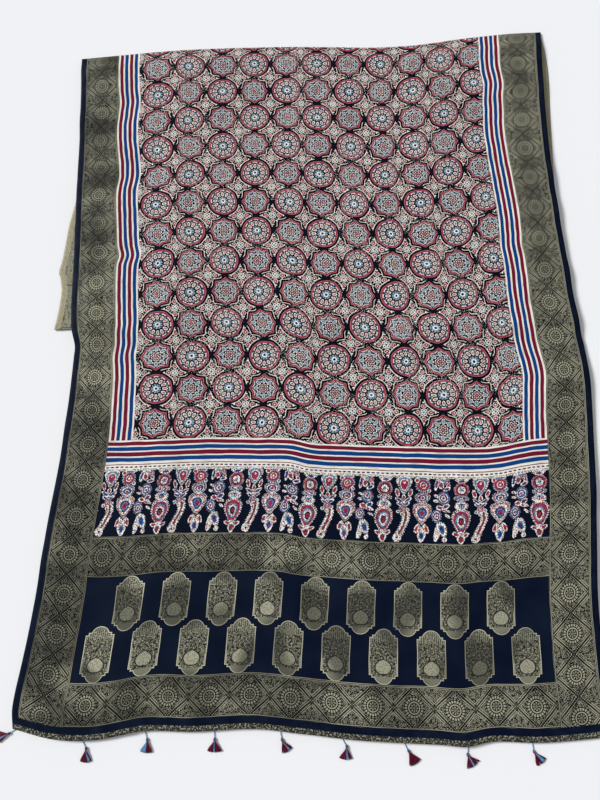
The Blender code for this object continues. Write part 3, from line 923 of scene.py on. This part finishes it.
def endStrip():
    # selvedge-like woven strip under the hem, with small plain flecks
    material, place = newMaterial("endStrip", .6)
    fleck = noise(place, 3.4, 1)
    colour = paint(solid(place, "zariGround"), between(noise(place, 2, 1), .5, .6), "zariMid")
    colour = paint(colour, (fleck > .58) * .4, "zariPale")
    return finish(material, colour, fleck, distance=.0003, strength=.4)


def reverseSide(name, ground, fleckDye, size):
    # the reverse: pale floats and show-through of the print
    material, place = newMaterial(name, .7, .1)
    blots = place.node("ShaderNodeTexVoronoi", dict(voronoi_dimensions="2D"), {"Vector": place, "Scale": 1 / size})
    colour = paint(solid(place, ground), between(blots, .25, .5) * .6, fleckDye)
    colour = paint(colour, (noise(place, 2, 2) > .55) * .4, ground)
    return finish(material, colour, noise(place, 1.8, 2), distance=.0004, strength=.5)


materials = {
    "endStrip": endStrip(), "navyEdge": navyEdge(), "goldSide": goldSide(), "sideStripes": sideStripes(),
    "printedField": printedField(), "crossStripes": crossStripes(), "paisleyRow": paisleyRow(),
    "goldBand": goldBand(), "navyEnd": navyEnd(), "reverseEdge": reverseSide("reverseEdge", "zariBack", "zariPale", 3),
    "reverseGold": reverseSide("reverseGold", "zariMid", "zariPale", 5),
    "reversePrint": reverseSide("reversePrint", "rose", "slate", 9)}
print("finishes made")
shawl, planShift = buildCloth(materials)
print("cloth made:", len(shawl.data.polygons), "faces")
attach(shawl, "root")
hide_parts("cloth")

# Tassels: share across the hem, degrees that cord and skirt turn, skirt length and width in metres,
# and the part of the fan, from -1 to 1, whose strands are light blue
tassels = dict(
    share=[.006, .116, .220, .336, .446, .549, .652, .760, .866, .994],
    cord=[-62, 27, 14, 0, 9, 27, 25, -14, 3, 38],
    skirt=[-72, 2, -2, 0, 27, -5, 30, 30, 35, 22],
    length=[.024, .024, .023, .022, .023, .023, .026, .022, .024, .024],
    width=[.021, .021, .022, .028, .021, .024, .023, .028, .022, .022],
    blueFrom=[.1, .45, -.95, -.16, .3, .12, 2, -.1, .2, .3],
    blueTo=[.5, .85, -.1, .16, .6, .5, 2, .12, .7, .6])
yarn = dict(cordLength=.017, strands=84, strandRadius=.00055, plyRadius=.00042, plyTurn=.0034, wraps=6, lift=.0048)


def tube(shape, points, radius, sides=5):
    # a closed round strand through points, added to the vertex and face lists
    vertices, faces = shape
    points = np.array(points)
    ways = np.gradient(points, axis=0)
    start = len(vertices)
    for index, (point, way) in enumerate(zip(points, ways)):
        way = Vector(way).normalized()
        side = way.cross(Vector((0, 0, 1)) if abs(way.z) < .9 else Vector((1, 0, 0))).normalized()
        reach = radius * (1 if index < len(points) - 1 else .6)
        for turn in range(sides):
            vertices.append(Vector(point) + Matrix.Rotation(2 * pi * turn / sides, 3, way) @ side * reach)
    for ring in range(len(points) - 1):
        for turn in range(sides):
            a = start + ring * sides + turn
            b = start + ring * sides + (turn + 1) % sides
            faces.append((b, a, a + sides, b + sides))
    last = start + (len(points) - 1) * sides
    faces.append(tuple(range(start, start + sides)))
    faces.append(tuple(range(last + sides - 1, last - 1, -1)))
    return (len(points) - 1) * sides + 2


def makeTassel(number, row, maroon, blue):
    draw = np.random.RandomState(40 + number)
    hem = planShift + Vector((float(sideways(shownSides, row["share"], 0)),
                              float(alongCloth(row["share"], np.array(0.))), 0))
    turns = radians(row["cord"]), radians(row["skirt"])
    cordWay, skirtWay = (Matrix.Rotation(turn, 3, "Z") @ Vector((0, -1, 0)) for turn in turns)
    shape, slots = ([], []), []

    # two plies twisted together, from just inside the hem to the knot
    side = cordWay.cross(Vector((0, 0, 1)))
    for ply in (0, pi):
        points = []
        for step in range(45):
            down = -.0015 + (yarn["cordLength"] - .001) * step / 44
            angle = ply + 2 * pi * down / yarn["plyTurn"]
            bow = .0006 * np.sin(pi * step / 44)
            height = .0010 + .0004 * step / 44
            aside = float(.0004 * np.cos(angle) + bow)
            points.append(hem + cordWay * down + side * aside
                          + Vector((0, 0, height + .0004 * np.sin(angle))))
        slots += [1] * tube(shape, points, yarn["plyRadius"])

    # wound knot
    knot = hem + cordWay * yarn["cordLength"]
    middle = (cordWay + skirtWay).normalized()
    across = middle.cross(Vector((0, 0, 1)))
    for wrap in range(yarn["wraps"]):
        down = -.0026 + .0052 * wrap / (yarn["wraps"] - 1)
        radius = .0019 - 90 * (down - .0004) ** 2
        points = []
        for step in range(13):
            angle = 2 * pi * step / 12
            points.append(knot + middle * float(down + .0003 * np.sin(angle)) + across * float(radius * np.cos(angle))
                          + Vector((0, 0, .0023 + radius * np.sin(angle) * .85)))
        slots += [int(wrap in (1, 4))] * tube(shape, points, .00055)

    # skirt of strands in a flattened fan
    fan = skirtWay.cross(Vector((0, 0, 1)))
    for strand in range(yarn["strands"]):
        place = draw.uniform(-1, 1)
        layer = draw.uniform(0, 1)
        reach = row["length"] * (1 - .10 * place ** 2 - draw.uniform(0, .05))
        wave, phase = draw.uniform(.0001, .0005), draw.uniform(0, 2 * pi)
        points = []
        for step in range(9):
            part = step / 8
            spreadOut = ease(part * .8 + .06) / ease(.86) * row["width"] / 2 * place
            height = (1 - (2 * layer - 1) ** 2) * .0004 + .0009 + (layer * (yarn["lift"] - .0021)) * (
                .55 + .45 * np.sin(pi * min(part * 1.3, 1)))
            height = height + (.0012 - .0012 * part) * (1 - part)
            sidewaysWave = wave * np.sin(phase + 6 * part) * part
            points.append(knot + skirtWay * float(reach * part) - fan * float(spreadOut + sidewaysWave)
                          + Vector((0, 0, min(height, yarn["lift"] - .0006))))
        isBlue = row["blueFrom"] < place < row["blueTo"]
        slots += [int(isBlue)] * tube(shape, points, yarn["strandRadius"])

    name = f"tassel{number:02d}"
    mesh = bpy.data.meshes.new(name)
    mesh.from_pydata([tuple(vertex) for vertex in shape[0]], [], shape[1])
    mesh.materials.append(maroon)
    mesh.materials.append(blue)
    mesh.polygons.foreach_set("material_index", slots)
    mesh.shade_smooth()
    piece = bpy.data.objects.new(name, mesh)
    bpy.context.collection.objects.link(piece)
    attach(piece, "root")
    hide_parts(f"tassel_{number:02d}")


def yarnFinish(name, colour, paintedHighlight):
    # spun yarn: fine streaks in a lighter colour, painted as highlights, with a dull lustre
    material = bpy.data.materials.new(name)
    material.use_nodes = True
    shader = material.node_tree.nodes["Principled BSDF"]
    shader.inputs["Roughness"].default_value = .6
    shader.inputs["Specular IOR Level"].default_value = .2
    own = Wire(material.node_tree).node("ShaderNodeTexCoord", out=3)
    place = own.vector("MULTIPLY", own, (1000, 1000, 1000))
    fleck = place.node("ShaderNodeTexNoise", {}, {"Vector": place, "Scale": 1.4, "Detail": 2})
    # the paler flecks are painted highlights on the strands
    return finish(material, paint(solid(place, colour), (fleck > .52) * .35, paintedHighlight), fleck, distance=.0002)


maroonYarn = yarnFinish("maroonYarn", "yarn", "maroon")
blueYarn = yarnFinish("blueYarn", "thread", "mist")
for number, values in enumerate(zip(*tassels.values()), 1):
    makeTassel(number, dict(zip(tassels, values)), maroonYarn, blueYarn)
print("tassels made")


view = dict(distance=1.26, tilt=12, lens=27)
light = dict(key=3.6, softness=16, sky=.36)
light["from"] = (-1.0, .45, .75)


def addCamera():
    data = bpy.data.cameras.new("camera")
    data.lens = view["lens"]
    data.sensor_width = 36
    tilt = radians(view["tilt"])
    camera = bpy.data.objects.new("camera", data)
    camera.location = planShift + view["distance"] * Vector((0, -np.sin(tilt), np.cos(tilt)))
    camera.rotation_euler = (tilt, 0, 0)
    bpy.context.collection.objects.link(camera)
    bpy.context.scene.camera = camera


def addSun():
    # one wide soft key, low from the upper left
    data = bpy.data.lights.new("softKey", "SUN")
    data.energy = light["key"]
    data.angle = radians(light["softness"])
    lamp = bpy.data.objects.new("softKey", data)
    lamp.rotation_euler = Vector(light["from"]).to_track_quat("Z", "Y").to_euler()
    bpy.context.collection.objects.link(lamp)


def addFloor():
    mesh = bpy.data.meshes.new("floor")
    reach = 6
    mesh.from_pydata([(-reach, -reach, 0), (reach, -reach, 0), (reach, reach, 0), (-reach, reach, 0)], [],
                     [(0, 1, 2, 3)])
    floor = bpy.data.objects.new("floor", mesh)
    floor.location.z = -.0003
    bpy.context.collection.objects.link(floor)
    paint = bpy.data.materials.new("palePaper")
    paint.use_nodes = True
    shader = paint.node_tree.nodes["Principled BSDF"]
    shader.inputs["Base Color"].default_value = (.87, .88, .905, 1)
    shader.inputs["Roughness"].default_value = .9
    shader.inputs["Specular IOR Level"].default_value = .1
    mesh.materials.append(paint)


addCamera()
addFloor()
addSun()
world = bpy.data.worlds.new("studio")
world.use_nodes = True
world.node_tree.nodes["Background"].inputs["Color"].default_value = (1, 1, 1, 1)
world.node_tree.nodes["Background"].inputs["Strength"].default_value = light["sky"]
bpy.context.scene.world = world
bpy.context.scene.view_settings.view_transform = "Standard"
